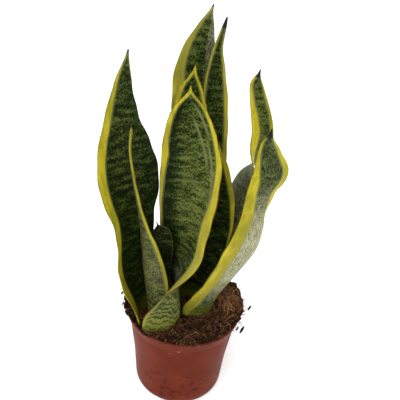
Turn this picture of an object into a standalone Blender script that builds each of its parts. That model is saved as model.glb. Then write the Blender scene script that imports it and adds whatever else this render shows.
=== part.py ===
"""Potted snake plant: nine channelled leaves standing in coir soil in a thin plastic pot.

The origin is the middle of the pot's flat underside, +Z is up and -Y is the front.
Every size below is in millimetres and is turned into metres where a mesh is made.
"""

import math

import bmesh
import bpy
import numpy as np
from mathutils import Matrix

MM = 0.001

# The pot: a thin shell with a flared collar, a tapered body and drain slots round its foot.
# The outside is straight between these heights.
POT_HEIGHT = 98.0
POT_RIM_RADIUS = 60.0
POT_COLLAR_RADIUS = 56.0
POT_WAIST_HEIGHT = 45.0
POT_WAIST_RADIUS = 50.0
POT_CORNER_HEIGHT = 8.0
POT_CORNER_RADIUS = 47.0
POT_FOOT_RADIUS = 43.0
POT_WALL = 1.3
POT_FLOOR = 2.0
COLLAR_HEIGHT = 11.0
COLLAR_STEP = 0.5
COLLAR_SLOPE = 0.6
LIP_WIDTH = 2.4
LIP_DEPTH = 2.0
LIP_BEVEL = 0.5
CORNER_BEVEL = 1.5
FOOT_BEVEL = 1.0
DRAIN_SLOTS = 8
DRAIN_SLOT_WIDTH = 12.0
DRAIN_SLOT_HEIGHT = 4.0
DRAIN_SLOT_INNER_RADIUS = 32.0
DRAIN_SLOT_OVERSHOOT = 4.0
DRAIN_FIRST_ANGLE = -30.0
ROUND_STEPS = 64
WELD_DISTANCE = 0.05

# The soil: a plug that follows the pot's inside and is heaped up behind the right-hand leaves.
FIT_GAP = 0.35
SOIL_FLOOR_GAP = 1.8
SOIL_EDGE_LEVEL = 94.5
SOIL_CROWN = 3.0
MOUND_HEIGHT = 13.0
MOUND_CENTRE = (47.0, 24.0)
MOUND_REACH = 24.0
LUMP_HEIGHT = 0.8
LUMP_WAVES = (0.31, 0.27)
LUMP_STARTS = (1.3, 0.4)
SOIL_RINGS = 12
LEVEL_TOLERANCE = 0.1

# The leaves: fleshy blades, each rolled into a channel.
LEAF_THICKNESS = 1.8
LEAF_ROWS = 25
POCKET_ROWS = 9
LEAF_COLUMNS = 6
FOOT_DEPTH = 17.0
FOOT_NARROWING = 0.8
AWL_LENGTH = 4.0
AWL_HALF_WIDTH = 1.3
AWL_CHANNEL = 20.0
TIP_HALF_WIDTH = 0.6
ROLL_START = 0.35
ROLL_POWER = 1.5
SECTION_SAMPLES = 16
TANGENT_STEP = 0.002
ROW_CROWDING = 1.3

# Each leaf has stations from the soil up and then the point of its tip.
# A station is the blade's middle line (x, y, z), its half width, the direction that its hollow side
# faces (0 is right, 90 is back, -90 is front), how far the section turns from margin to margin,
# and how far the right-hand third is turned back from that. Lengths are in mm, angles in degrees.
LEAVES = {
    "leaf_left_tall": (
        [
            (-44, -8, 97, 26, -22, 105, 0),
            (-58, -6, 149, 29, -36, 105, 0),
            (-60, -5, 202, 29, -42, 95, -60),
            (-62, -2, 240, 35, -55, 70, -80),
            (-67, 0, 275, 30, -62, 50, -80),
            (-71, 3, 310, 18, -66, 40, -90),
            (-71, 6, 345, 8, -66, 30, -60),
        ],
        (-68, 10, 372),
    ),
    "leaf_left_inner": (
        [
            (-31, -18, 97, 15, 50, 110, 0),
            (-34, -18, 140, 18, 55, 100, 0),
            (-41, -17, 180, 15, 45, 90, 0),
            (-49, -17, 220, 9, 25, 60, 0),
            (-56, -19, 260, 6, 12, 50, 0),
            (-60, -21, 295, 3, 10, 20, 0),
        ],
        (-59, -23, 314),
    ),
    "leaf_front_broad": (
        [
            (-11, -31, 97, 31, 137, 125, 0),
            (-8, -26, 120, 31, 152, 125, -30),
            (-7, -17, 148, 29, 184, 120, -75),
            (-2, -12, 180, 30, 215, 110, -75),
            (-2, -12, 212, 30, 235, 100, -35),
            (-1, -12, 247, 32, 250, 90, 0),
            (-3, -11, 283, 30, 258, 70, 0),
            (-7, -11, 308, 25, 262, 60, 0),
            (-10, -9, 333, 14, 265, 40, 0),
        ],
        (-11, -8, 352),
    ),
    "leaf_centre": (
        [
            (10, 20, 97, 15, -110, 130, 0),
            (14, 23, 130, 22, -108, 120, 0),
            (16, 25, 165, 27, -102, 110, -20),
            (14, 27, 209, 30, -97, 100, -40),
            (7, 26, 255, 26, -94, 85, -20),
            (-7, 25, 297, 18, -92, 65, 0),
            (-11, 24, 335, 11, -90, 40, 0),
        ],
        (-9, 24, 358),
    ),
    "leaf_back_tallest": (
        [
            (-8, 48, 97, 15, -90, 110, 0),
            (-8, 50, 180, 19, -88, 80, 0),
            (-7, 52, 264, 21, -87, 70, -80),
            (-8, 53, 318, 23, -87, 60, -100),
            (-9, 53, 341, 21, -87, 50, -90),
            (-7, 51, 366, 15, -88, 50, -70),
            (-3, 50, 386, 8, -87, 40, -50),
        ],
        (2, 48, 407),
    ),
    "leaf_back_slim": (
        [
            (15, 38, 97, 11, -90, 105, 0),
            (15, 38, 180, 14, -90, 90, 0),
            (14, 39, 264, 15, -90, 70, 0),
            (11, 41, 330, 11.5, -90, 60, 0),
            (10, 41, 348, 9, -90, 60, 0),
            (10, 40, 370, 4.5, -90, 50, 0),
        ],
        (15, 38, 400),
    ),
    "leaf_right_front": (
        [
            (21, -9, 97, 23, 128, 130, 0),
            (28, -10, 120, 26, 138, 125, -50),
            (42, -12, 150, 28, 136, 112, -80),
            (58, -12, 190, 24, 126, 95, -40),
            (61, -12, 222, 16, 124, 80, 0),
            (65, -12, 253, 17, 118, 60, 0),
            (70, -11, 271, 19, 113, 50, 0),
            (66, -10, 289, 13.5, 112, 40, 0),
            (63, -9, 304, 7, 108, 30, 0),
        ],
        (64, -8, 318),
    ),
    "leaf_right_back": (
        [
            (32, 30, 97, 10.5, -50, 115, 0),
            (35, 39, 155, 15, 25, 110, 0),
            (40, 43, 205, 21, 40, 105, 0),
            (47, 43, 232, 23, 30, 100, 50),
            (55, 41, 254, 21, -12, 100, 20),
            (59, 38, 279, 13.5, -63, 80, 0),
            (57, 36, 306, 10.5, -80, 65, 0),
            (51, 36, 328, 8, -84, 45, 0),
            (48, 36, 344, 5, -84, 40, 0),
        ],
        (50, 36, 355),
    ),
    "leaf_small_inner": (
        [
            (-24, -5, 97, 7, -70, 110, 0),
            (-25, -6, 140, 10, -72, 110, 0),
            (-26, -8, 170, 11, -75, 95, 0),
            (-27, -9, 188, 11, -78, 75, 0),
            (-30, -10, 201, 8, -80, 60, 0),
        ],
        (-33, -11, 209),
    ),
}

COLOURS = {
    "terracotta": (0.22, 0.065, 0.038),
    "coir": (0.075, 0.042, 0.022),
    "leaf_green": (0.035, 0.075, 0.022),
}


def clear_scene():
    """Remove every object that the scene starts with."""
    for old in list(bpy.data.objects):
        bpy.data.objects.remove(old, do_unlink=True)


def make_collection(name):
    """A new collection under the scene's own."""
    collection = bpy.data.collections.new(name)
    bpy.context.scene.collection.children.link(collection)
    return collection


def make_material(name, colour, roughness):
    """A Principled material of one colour."""
    material = bpy.data.materials.new(name)
    material.use_nodes = True
    shader = material.node_tree.nodes["Principled BSDF"]
    shader.inputs["Base Color"].default_value = (*colour, 1.0)
    shader.inputs["Roughness"].default_value = roughness
    shader.inputs["Metallic"].default_value = 0.0
    return material


def add_object(name, mesh, collection, material=None):
    """Put a mesh in the scene as a named object."""
    thing = bpy.data.objects.new(name, mesh)
    collection.objects.link(thing)
    if material is not None:
        mesh.materials.append(material)
    return thing


def hide_as_cutter(thing):
    """A cutter shows as wire and isn't rendered."""
    thing.hide_render = True
    thing.display_type = "WIRE"


def profile_mesh(name, points):
    """An open line of edges in the XZ plane, from (radius, height) pairs in mm."""
    mesh = bpy.data.meshes.new(name)
    vertices = [(radius * MM, 0.0, height * MM) for radius, height in points]
    edges = [(index, index + 1) for index in range(len(points) - 1)]
    mesh.from_pydata(vertices, edges, [])
    return mesh


def turn(thing):
    """Spin a profile round Z into a closed body."""
    screw = thing.modifiers.new("turn", "SCREW")
    screw.axis = "Z"
    screw.angle = math.tau
    screw.steps = ROUND_STEPS
    screw.render_steps = ROUND_STEPS
    screw.use_merge_vertices = True
    screw.merge_threshold = WELD_DISTANCE * MM
    screw.use_smooth_shade = True


def wall_radius(height):
    """Outside radius of the pot at a height, before the step under the collar."""
    heights = (0.0, POT_CORNER_HEIGHT, POT_WAIST_HEIGHT, POT_HEIGHT - COLLAR_HEIGHT, POT_HEIGHT)
    radii = (POT_FOOT_RADIUS, POT_CORNER_RADIUS, POT_WAIST_RADIUS, POT_COLLAR_RADIUS, POT_RIM_RADIUS)
    return float(np.interp(height, heights, radii))


def inner_radius(height):
    """Inside radius of the pot's wall at a height."""
    return wall_radius(height) - COLLAR_STEP - POT_WALL


def pot_profile():
    """From the middle of the floor up the inside, over the lip and down the outside."""
    collar_foot = POT_HEIGHT - COLLAR_HEIGHT
    bends = (POT_CORNER_HEIGHT, POT_WAIST_HEIGHT, collar_foot)
    lip_foot = POT_HEIGHT - LIP_DEPTH
    lip_side = POT_HEIGHT - LIP_BEVEL
    lip_inner = POT_RIM_RADIUS - LIP_WIDTH + LIP_BEVEL / 2
    lip_outer = wall_radius(lip_side)
    corner = POT_FLOOR + CORNER_BEVEL
    return [
        (0.0, POT_FLOOR),
        (inner_radius(POT_FLOOR) - CORNER_BEVEL, POT_FLOOR),
        (inner_radius(corner), corner),
        *((inner_radius(height), height) for height in bends),
        (inner_radius(lip_foot), lip_foot),
        (lip_inner, lip_side),
        (lip_inner + LIP_BEVEL, POT_HEIGHT),
        (lip_outer - LIP_BEVEL, POT_HEIGHT),
        (lip_outer, lip_side),
        (wall_radius(collar_foot), collar_foot),
        (wall_radius(collar_foot) - COLLAR_STEP, collar_foot - COLLAR_SLOPE),
        (POT_WAIST_RADIUS - COLLAR_STEP, POT_WAIST_HEIGHT),
        (POT_CORNER_RADIUS - COLLAR_STEP, POT_CORNER_HEIGHT),
        (wall_radius(FOOT_BEVEL) - COLLAR_STEP, FOOT_BEVEL),
        (POT_FOOT_RADIUS - COLLAR_STEP - FOOT_BEVEL, 0.0),
        (0.0, 0.0),
    ]


def slot_cutter(collection):
    """Boxes that cross the pot's bottom corner, one for each drain slot."""
    bm = bmesh.new()
    length = POT_FOOT_RADIUS + DRAIN_SLOT_OVERSHOOT - DRAIN_SLOT_INNER_RADIUS
    middle = DRAIN_SLOT_INNER_RADIUS + length / 2
    size = Matrix.Diagonal((length * MM, DRAIN_SLOT_WIDTH * MM, 2 * DRAIN_SLOT_HEIGHT * MM, 1.0))
    outward = Matrix.Translation((middle * MM, 0.0, 0.0))
    for index in range(DRAIN_SLOTS):
        angle = math.radians(DRAIN_FIRST_ANGLE) + math.tau * index / DRAIN_SLOTS
        spin = Matrix.Rotation(angle, 4, "Z")
        bmesh.ops.create_cube(bm, size=1.0, matrix=spin @ outward @ size)
    mesh = bpy.data.meshes.new("drain_slots")
    bm.to_mesh(mesh)
    bm.free()
    cutter = add_object("drain_slots", mesh, collection)
    hide_as_cutter(cutter)
    return cutter


def make_pot(parts, cutters, material):
    """The turned shell with its drain slots cut out."""
    pot = add_object("pot", profile_mesh("pot", pot_profile()), parts, material)
    turn(pot)
    cut = pot.modifiers.new("drain_slots", "BOOLEAN")
    cut.operation = "DIFFERENCE"
    cut.solver = "EXACT"
    cut.object = slot_cutter(cutters)
    return pot


def soil_profile():
    """From the middle of the top out to the wall, down the side and back along the floor."""
    top = SOIL_EDGE_LEVEL
    reach = inner_radius(top) - FIT_GAP
    bottom = POT_FLOOR + SOIL_FLOOR_GAP
    rings = [(reach * index / SOIL_RINGS, top) for index in range(SOIL_RINGS + 1)]
    bends = (POT_HEIGHT - COLLAR_HEIGHT, POT_WAIST_HEIGHT, POT_CORNER_HEIGHT, bottom)
    side = [(inner_radius(height) - FIT_GAP, height) for height in bends]
    return rings + side + [(0.0, bottom)]


def soil_height(x, y):
    """How far the heaped top stands above its level edge: a crown, a mound and small lumps."""
    reach = inner_radius(SOIL_EDGE_LEVEL)
    radius = np.hypot(x, y) / reach
    crown = SOIL_CROWN * np.clip(1 - radius**4, 0, 1)
    away = np.hypot(x - MOUND_CENTRE[0], y - MOUND_CENTRE[1]) / MOUND_REACH
    mound = MOUND_HEIGHT * np.exp(-(away**4))
    lumps = LUMP_HEIGHT * np.clip(1 - radius**6, 0, 1)
    lumps *= np.sin(LUMP_WAVES[0] * x + LUMP_STARTS[0]) * np.sin(LUMP_WAVES[1] * y + LUMP_STARTS[1])
    return crown + mound + lumps


def heap_top(mesh):
    """Raise the vertices of the flat top to the heaped surface."""
    points = np.empty(len(mesh.vertices) * 3)
    mesh.vertices.foreach_get("co", points)
    points = points.reshape(-1, 3) / MM
    top = points[:, 2] > SOIL_EDGE_LEVEL - LEVEL_TOLERANCE
    points[top, 2] += soil_height(points[top, 0], points[top, 1])
    mesh.vertices.foreach_set("co", (points * MM).ravel())
    mesh.update()


def make_soil(parts, cutters, material):
    """The soil plug, with a pocket for each leaf's foot."""
    blank = add_object("soil_blank", profile_mesh("soil", soil_profile()), parts)
    turn(blank)
    depsgraph = bpy.context.evaluated_depsgraph_get()
    mesh = bpy.data.meshes.new_from_object(blank.evaluated_get(depsgraph))
    bpy.data.objects.remove(blank, do_unlink=True)
    heap_top(mesh)
    soil = add_object("soil", mesh, parts, material)
    cut = soil.modifiers.new("leaf_pockets", "BOOLEAN")
    cut.operation = "DIFFERENCE"
    cut.solver = "EXACT"
    cut.operand_type = "COLLECTION"
    cut.collection = cutters
    return soil


def smooth_path(values, at):
    """Values along a path through the stations: cubic pieces that share slopes at each station.

    The first three columns are a position, and the path's parameter is the distance between
    positions. A slope is the weighted mean of the straight slopes on its two sides.
    """
    step = np.linalg.norm(np.diff(values[:, :3], axis=0), axis=1)
    knots = np.concatenate([[0.0], np.cumsum(step)])
    straight = np.diff(values, axis=0) / step[:, None]
    slopes = np.empty_like(values)
    before, after = step[:-1, None], step[1:, None]
    slopes[1:-1] = (straight[:-1] * after + straight[1:] * before) / (before + after)
    slopes[0] = 1.5 * straight[0] - 0.5 * slopes[1]
    slopes[-1] = 1.5 * straight[-1] - 0.5 * slopes[-2]
    distance = at * knots[-1]
    piece = np.clip(np.searchsorted(knots, distance, side="right") - 1, 0, len(step) - 1)
    span = step[piece][:, None]
    q = (distance - knots[piece])[:, None] / span
    return (
        (1 + 2 * q) * (1 - q) ** 2 * values[piece]
        + q * (1 - q) ** 2 * span * slopes[piece]
        + q**2 * (3 - 2 * q) * values[piece + 1]
        + q**2 * (q - 1) * span * slopes[piece + 1]
    )


def full_stations(stations, tip, extra_depth):
    """Add the buried foot below the first station, and the awl and the point above the last."""
    rows = np.array(stations, dtype=float)
    foot = rows[0].copy()
    foot[2] -= FOOT_DEPTH + extra_depth
    foot[3] *= FOOT_NARROWING
    tip = np.array(tip, dtype=float)
    back = rows[-1, :3] - tip
    awl_foot = tip + back / np.linalg.norm(back) * AWL_LENGTH
    facing = rows[-1, 4]
    awl = np.array([*awl_foot, AWL_HALF_WIDTH, facing, AWL_CHANNEL, 0])
    point = np.array([*tip, TIP_HALF_WIDTH, facing, 0, 0])
    return np.vstack([foot, rows, awl, point])


def section(u, channel, roll):
    """The blade's section, for u from -1 at the left margin to 1 at the right.

    The section's direction turns evenly from margin to margin through the channel angle, and
    the last part of the right side turns further by the roll. Returned are the distance
    across and the rise towards the hollow side, for a half width of 1.
    """
    middles = (np.arange(SECTION_SAMPLES) + 0.5) / SECTION_SAMPLES
    along = u[:, None] * middles
    rolled = np.clip((along - ROLL_START) / (1 - ROLL_START), 0, 1) ** ROLL_POWER
    turning = np.radians(channel)[:, None] / 2 * along + np.radians(roll)[:, None] * rolled
    return u * np.cos(turning).mean(axis=1), u * np.sin(turning).mean(axis=1)


def leaf_surface(stations, tip, u, v, extra=0.0):
    """Points in mm on a leaf's middle surface, for u across it and v from foot to tip.

    The middle line is the smooth path through the stations. The hollow side's direction is
    squared to the path's tangent, and the section is laid across the two.
    """
    rows = full_stations(stations, tip, extra)
    here = smooth_path(rows, v)
    ahead = smooth_path(rows, np.clip(v + TANGENT_STEP, 0, 1))
    behind = smooth_path(rows, np.clip(v - TANGENT_STEP, 0, 1))
    tangent = ahead[:, :3] - behind[:, :3]
    tangent /= np.linalg.norm(tangent, axis=1)[:, None]
    facing = np.radians(here[:, 4])
    hollow = np.stack([np.cos(facing), np.sin(facing), np.zeros_like(facing)], axis=1)
    hollow -= (hollow * tangent).sum(axis=1)[:, None] * tangent
    hollow /= np.linalg.norm(hollow, axis=1)[:, None]
    across, rise = section(u, here[:, 5], here[:, 6])
    half = np.maximum(here[:, 3], TIP_HALF_WIDTH) + extra
    side = np.cross(tangent, hollow)
    return here[:, :3] + (across * half)[:, None] * side + (rise * half)[:, None] * hollow


def leaf_object(name, shape, collection, material, rows, thickness, extra=0.0):
    """A grid bent into the leaf's surface, with a wall by Solidify.

    Fewer rows than LEAF_ROWS give only the leaf's lower part, with the same facets. The rows
    crowd a little towards the tip, where the leaf narrows.
    """
    stations, tip = shape
    bm = bmesh.new()
    bmesh.ops.create_grid(bm, x_segments=LEAF_COLUMNS, y_segments=rows, size=1.0)
    mesh = bpy.data.meshes.new(name)
    bm.to_mesh(mesh)
    bm.free()
    flat = np.empty(len(mesh.vertices) * 3)
    mesh.vertices.foreach_get("co", flat)
    flat = flat.reshape(-1, 3)
    v = rows / LEAF_ROWS * (flat[:, 1] + 1) / 2
    v = 1 - (1 - v) ** ROW_CROWDING
    points = leaf_surface(stations, tip, flat[:, 0], v, extra)
    mesh.vertices.foreach_set("co", (points * MM).ravel())
    mesh.update()
    mesh.shade_smooth()
    leaf = add_object(name, mesh, collection, material)
    wall = leaf.modifiers.new("thickness", "SOLIDIFY")
    wall.thickness = thickness * MM
    wall.offset = 0.0
    wall.use_even_offset = True
    return leaf


def main():
    clear_scene()
    parts = make_collection("potted_snake_plant")
    cutters = make_collection("cutters")
    pockets = make_collection("pocket_cutters")
    terracotta = make_material("terracotta_plastic", COLOURS["terracotta"], 0.45)
    coir = make_material("coir_soil", COLOURS["coir"], 0.95)
    make_pot(parts, cutters, terracotta)
    pocket_width = LEAF_THICKNESS + 2 * FIT_GAP
    for name, shape in LEAVES.items():
        green = make_material(name, COLOURS["leaf_green"], 0.4)
        leaf_object(name, shape, parts, green, LEAF_ROWS, LEAF_THICKNESS)
        pocket = leaf_object(name + "_pocket", shape, pockets, None, POCKET_ROWS, pocket_width, FIT_GAP)
        hide_as_cutter(pocket)
    make_soil(parts, pockets, coir)


main()
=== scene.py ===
# %% [markdown]
# # A potted snake plant
#
# A young snake plant is a tuft of stiff, fleshy leaves. Each leaf is rolled into a channel that
# opens towards the middle of its rosette. Its blade is dark green with paler, ragged cross-bands,
# and nearly always has yellow margins. The plant stands in coir soil in a thin plastic pot.
#
# This script loads the plain solids of the plant as a frame, and puts a detailed piece in the
# place of each one.

import bmesh
import bpy
import math
import numpy as np
from mathutils import Matrix, Vector


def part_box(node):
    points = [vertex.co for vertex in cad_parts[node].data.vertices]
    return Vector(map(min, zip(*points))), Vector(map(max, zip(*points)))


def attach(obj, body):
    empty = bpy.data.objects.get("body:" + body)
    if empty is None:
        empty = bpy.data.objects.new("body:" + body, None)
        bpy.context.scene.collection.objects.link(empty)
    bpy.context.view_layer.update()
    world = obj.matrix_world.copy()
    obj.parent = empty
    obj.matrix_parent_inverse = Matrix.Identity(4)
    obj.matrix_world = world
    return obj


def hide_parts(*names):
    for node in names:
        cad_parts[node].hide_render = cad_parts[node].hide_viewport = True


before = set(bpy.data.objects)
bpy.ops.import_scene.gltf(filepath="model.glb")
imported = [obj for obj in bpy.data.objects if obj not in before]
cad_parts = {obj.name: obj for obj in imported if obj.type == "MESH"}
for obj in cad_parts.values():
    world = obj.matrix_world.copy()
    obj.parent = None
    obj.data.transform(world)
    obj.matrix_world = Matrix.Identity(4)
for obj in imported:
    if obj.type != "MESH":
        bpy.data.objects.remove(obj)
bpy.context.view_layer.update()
MM = 0.001
print("solids:", ", ".join(sorted(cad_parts)))

# %% [markdown]
# ## Camera, light and floor
#
# The plant is seen from in front and above, with the camera turned a little about its own axis.
# A long lens keeps the leaves from spreading towards the top. The light is a large soft source
# in front and above, with a weaker panel on each side and a pale world all round, as in a white
# studio tent. The floor glows a little, so that shadows on it stay faint.

# %% Camera
def add_object(name, data):
    """Put a new object with this data in the scene."""
    thing = bpy.data.objects.new(name, data)
    bpy.context.scene.collection.objects.link(thing)
    return thing


CAMERA_LENS = 65.0
CAMERA_TILT = math.radians(31.8)
CAMERA_ROLL = math.radians(5.5)
CAMERA_DISTANCE = 692.0 * MM
AIM = Vector((6.5 * MM, 0.0, 232.0 * MM))


def make_camera():
    """A camera that looks at AIM from CAMERA_DISTANCE away.

    Its forward direction is +Y turned down by the tilt, and the roll turns its right and up
    directions about that.
    """
    forward = Vector((0.0, math.cos(CAMERA_TILT), -math.sin(CAMERA_TILT)))
    level = Vector((1.0, 0.0, 0.0))
    rise = level.cross(forward)
    right = level * math.cos(CAMERA_ROLL) + rise * math.sin(CAMERA_ROLL)
    up = rise * math.cos(CAMERA_ROLL) - level * math.sin(CAMERA_ROLL)
    data = bpy.data.cameras.new("camera")
    data.lens = CAMERA_LENS
    camera = add_object("camera", data)
    turn = Matrix((right, up, -forward)).transposed().to_4x4()
    camera.matrix_world = Matrix.Translation(AIM - forward * CAMERA_DISTANCE) @ turn
    bpy.context.scene.camera = camera
    return camera


camera = make_camera()
print("camera at", [round(c / MM) for c in camera.location])


# %% Light
# The key light is a sun as soft as a source that fills this much of the sky.
KEY_SPREAD = math.radians(55)
KEY_DIRECTION = Vector((0.25, 0.75, -1.0))
PANEL_SIZE = 0.7
PANELS = {"right_light": ((0.9, -0.1, 0.35), 4.5), "left_light": ((-0.9, -0.1, 0.35), 4.0)}
WORLD_STRENGTH = 0.45


def make_light(name, kind, energy, direction):
    """A light of some kind that shines in a direction."""
    data = bpy.data.lights.new(name, kind)
    data.energy = energy
    light = add_object(name, data)
    light.rotation_euler = direction.to_track_quat("-Z", "Y").to_euler()
    return light


make_light("key_light", "SUN", 2.6, KEY_DIRECTION).data.angle = KEY_SPREAD
for name, (place, energy) in PANELS.items():
    panel = make_light(name, "AREA", energy, AIM - Vector(place))
    panel.data.size = PANEL_SIZE
    panel.location = place

world = bpy.data.worlds.new("studio")
world.use_nodes = True
background = world.node_tree.nodes["Background"]
background.inputs["Color"].default_value = (1.0, 1.0, 1.0, 1.0)
background.inputs["Strength"].default_value = WORLD_STRENGTH
bpy.context.scene.world = world
bpy.context.scene.view_settings.view_transform = "Standard"

# %% [markdown]
# ## A small language for shaders
#
# A pattern is easier to read as arithmetic than as a drawing of nodes. `Value` wraps a socket,
# so that `1 - mask` or `a * b` adds the Math node that it means. `Shader.node` makes every
# other kind of node.


# %% Shader arithmetic
class Value:
    """One output socket that can be used in arithmetic. Each operation adds a Math node."""

    def __init__(self, shader, socket):
        self.shader = shader
        self.socket = socket

    def math(self, operation, *operands):
        """A Math node on these operands, or on this value alone."""
        inputs = dict(enumerate(operands or (self,)))
        return self.shader.node("ShaderNodeMath", {"operation": operation}, inputs)

    def __add__(self, other):
        return self.math("ADD", self, other)

    def __sub__(self, other):
        return self.math("SUBTRACT", self, other)

    def __rsub__(self, other):
        return self.math("SUBTRACT", other, self)

    def __mul__(self, other):
        return self.math("MULTIPLY", self, other)

    def smooth(self, low, high):
        """0 below low and 1 above high, with a soft step between."""
        settings = {"interpolation_type": "SMOOTHSTEP"}
        inputs = {"Value": self, "From Min": low, "From Max": high}
        return self.shader.node("ShaderNodeMapRange", settings, inputs)

    __radd__ = __add__
    __rmul__ = __mul__


# %% Materials, node by node
class Shader:
    """A material that is built up node by node."""

    def __init__(self, name):
        self.material = bpy.data.materials.new(name)
        self.material.use_nodes = True
        self.tree = self.material.node_tree
        self.tree.nodes.clear()

    def node(self, kind, settings=None, inputs=None, output=0):
        """Add a node: its settings first, then a number, colour or link for each named input."""
        node = self.tree.nodes.new(kind)
        for name, setting in (settings or {}).items():
            setattr(node, name, setting)
        for name, given in (inputs or {}).items():
            if isinstance(given, Value):
                self.tree.links.new(given.socket, node.inputs[name])
            else:
                node.inputs[name].default_value = given
        return Value(self, node.outputs[output]) if node.outputs else None

    def attribute(self, name, output="Fac"):
        """A value that each point of the mesh carries."""
        return self.node("ShaderNodeAttribute", {"attribute_name": name}, output=output)

    def place(self):
        """Where the shaded point is on the object."""
        return self.node("ShaderNodeTexCoord", output="Object")

    def noise(self, vector, scale, detail=2.0, roughness=0.5):
        """Cloudy noise with a mean of one half."""
        inputs = {"Vector": vector, "Scale": scale, "Detail": detail, "Roughness": roughness}
        return self.node("ShaderNodeTexNoise", None, inputs)

    def drawn_noise(self, vector, scales, detail=2.0, roughness=0.5):
        """Noise drawn out along the axes: the scales are its waves to the unit along each."""
        settings = {"operation": "MULTIPLY"}
        drawn = self.node("ShaderNodeVectorMath", settings, {0: vector, 1: scales})
        return self.noise(drawn, 1.0, detail, roughness)

    def mix(self, amount, first, second):
        """One colour turning into another as the amount goes from 0 to 1."""
        colours = [c if isinstance(c, Value) else (*c, 1.0) for c in (first, second)]
        inputs = {0: amount, 6: colours[0], 7: colours[1]}
        return self.node("ShaderNodeMix", {"data_type": "RGBA"}, inputs, output=2)

    def bump(self, height, distance, strength=1.0):
        """A normal bent by a height, where a height of 1 stands this distance proud."""
        inputs = {"Height": height, "Distance": distance, "Strength": strength}
        return self.node("ShaderNodeBump", None, inputs)

    def finish(self, inputs):
        """End the material in a Principled shader with these inputs."""
        surface = self.node("ShaderNodeBsdfPrincipled", None, inputs)
        self.node("ShaderNodeOutputMaterial", None, {"Surface": surface})
        return self.material


# %% Floor
FLOOR_REACH = 4.0
FLOOR_WHITE = (0.91, 0.91, 0.91, 1.0)
FLOOR_GLOW = 0.3


def make_floor():
    """A plain white square under the pot, a little self-lit so that shadows on it stay faint."""
    reach = FLOOR_REACH
    corners = [(-reach, -reach, 0), (reach, -reach, 0), (reach, reach, 0), (-reach, reach, 0)]
    mesh = bpy.data.meshes.new("floor")
    mesh.from_pydata(corners, [], [(0, 1, 2, 3)])
    floor = add_object("floor", mesh)
    paint = Shader("floor_paint")
    glow = {"Emission Color": FLOOR_WHITE, "Emission Strength": FLOOR_GLOW}
    mesh.materials.append(paint.finish({"Base Color": FLOOR_WHITE, "Roughness": 0.8, **glow}))


make_floor()
print("floor is", 2 * FLOOR_REACH, "m wide")

# %% [markdown]
# ## From a grid of points to a closed piece
#
# Every piece below is worked out as a grid of points: rows along it, and points around each row.
# Joining the last point of a row to the first makes a tube, and a fan of triangles on one extra
# point closes each end, so the piece is a solid with no holes.


# %% Closed tubes from grids
def tube_faces(rows, around, inside_out=False):
    """Squares between neighbouring rows, and a fan on a pole at each end.

    The points are numbered row by row, and the two poles follow the last row. The faces face
    outwards when the points go round anticlockwise seen from the tube's far end. Rows that go
    round the other way are turned inside out.
    """
    here = np.arange(rows - 1)[:, None] * around + np.arange(around)
    beside = np.arange(rows - 1)[:, None] * around + (np.arange(around) + 1) % around
    squares = np.stack([here, beside, beside + around, here + around], axis=-1).reshape(-1, 4)
    ring = np.arange(around)
    after = (ring + 1) % around
    start_pole, end_pole = rows * around, rows * around + 1
    last = (rows - 1) * around
    start_fan = np.stack([np.full(around, start_pole), after, ring], axis=-1)
    end_fan = np.stack([np.full(around, end_pole), last + ring, last + after], axis=-1)
    fans = np.vstack([start_fan, end_fan])
    return (squares[:, ::-1], fans[:, ::-1]) if inside_out else (squares, fans)


def build_piece(name, points, squares, fans, material, slot, replaces=None):
    """Turn points in mm and their faces into a smooth object that rides with the plant."""
    mesh = bpy.data.meshes.new(name)
    mesh.from_pydata((points * MM).tolist(), [], squares.tolist() + fans.tolist())
    mesh.shade_smooth()
    mesh.materials.append(material)
    piece = add_object(name, mesh)
    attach(piece, "root")
    if replaces:
        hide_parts(replaces)
    return piece


def build_tube(name, points, poles, material, slot, node, inside_out=False):
    """A closed piece from a (rows, around) grid and its two poles, in the place of a solid."""
    faces = tube_faces(*points.shape[:2], inside_out)
    flat = np.vstack([points.reshape(-1, 3), poles])
    return build_piece(name, flat, *faces, material, slot, node)


def point_values(piece, name, values):
    """Give each point of a piece a number, or a vector, that its material can read."""
    kind, field = ("FLOAT", "value") if values.ndim == 1 else ("FLOAT_VECTOR", "vector")
    layer = piece.data.attributes.new(name, kind, "POINT")
    layer.data.foreach_set(field, values.astype(np.float32).ravel())


# %% [markdown]
# ## The leaves' shape
#
# A leaf is a middle line with a section laid across it. The section is an arc that turns evenly
# from margin to margin, which is how a sheet rolls, and on some leaves the right-hand third turns
# back again. The stations below are the same as the plain solids', so each detailed leaf lies
# where its solid does. A station is x, y, z and the half width in mm, then the direction that the
# hollow side faces, the angle that the section turns through and how far its right third turns
# back, in degrees.

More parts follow.
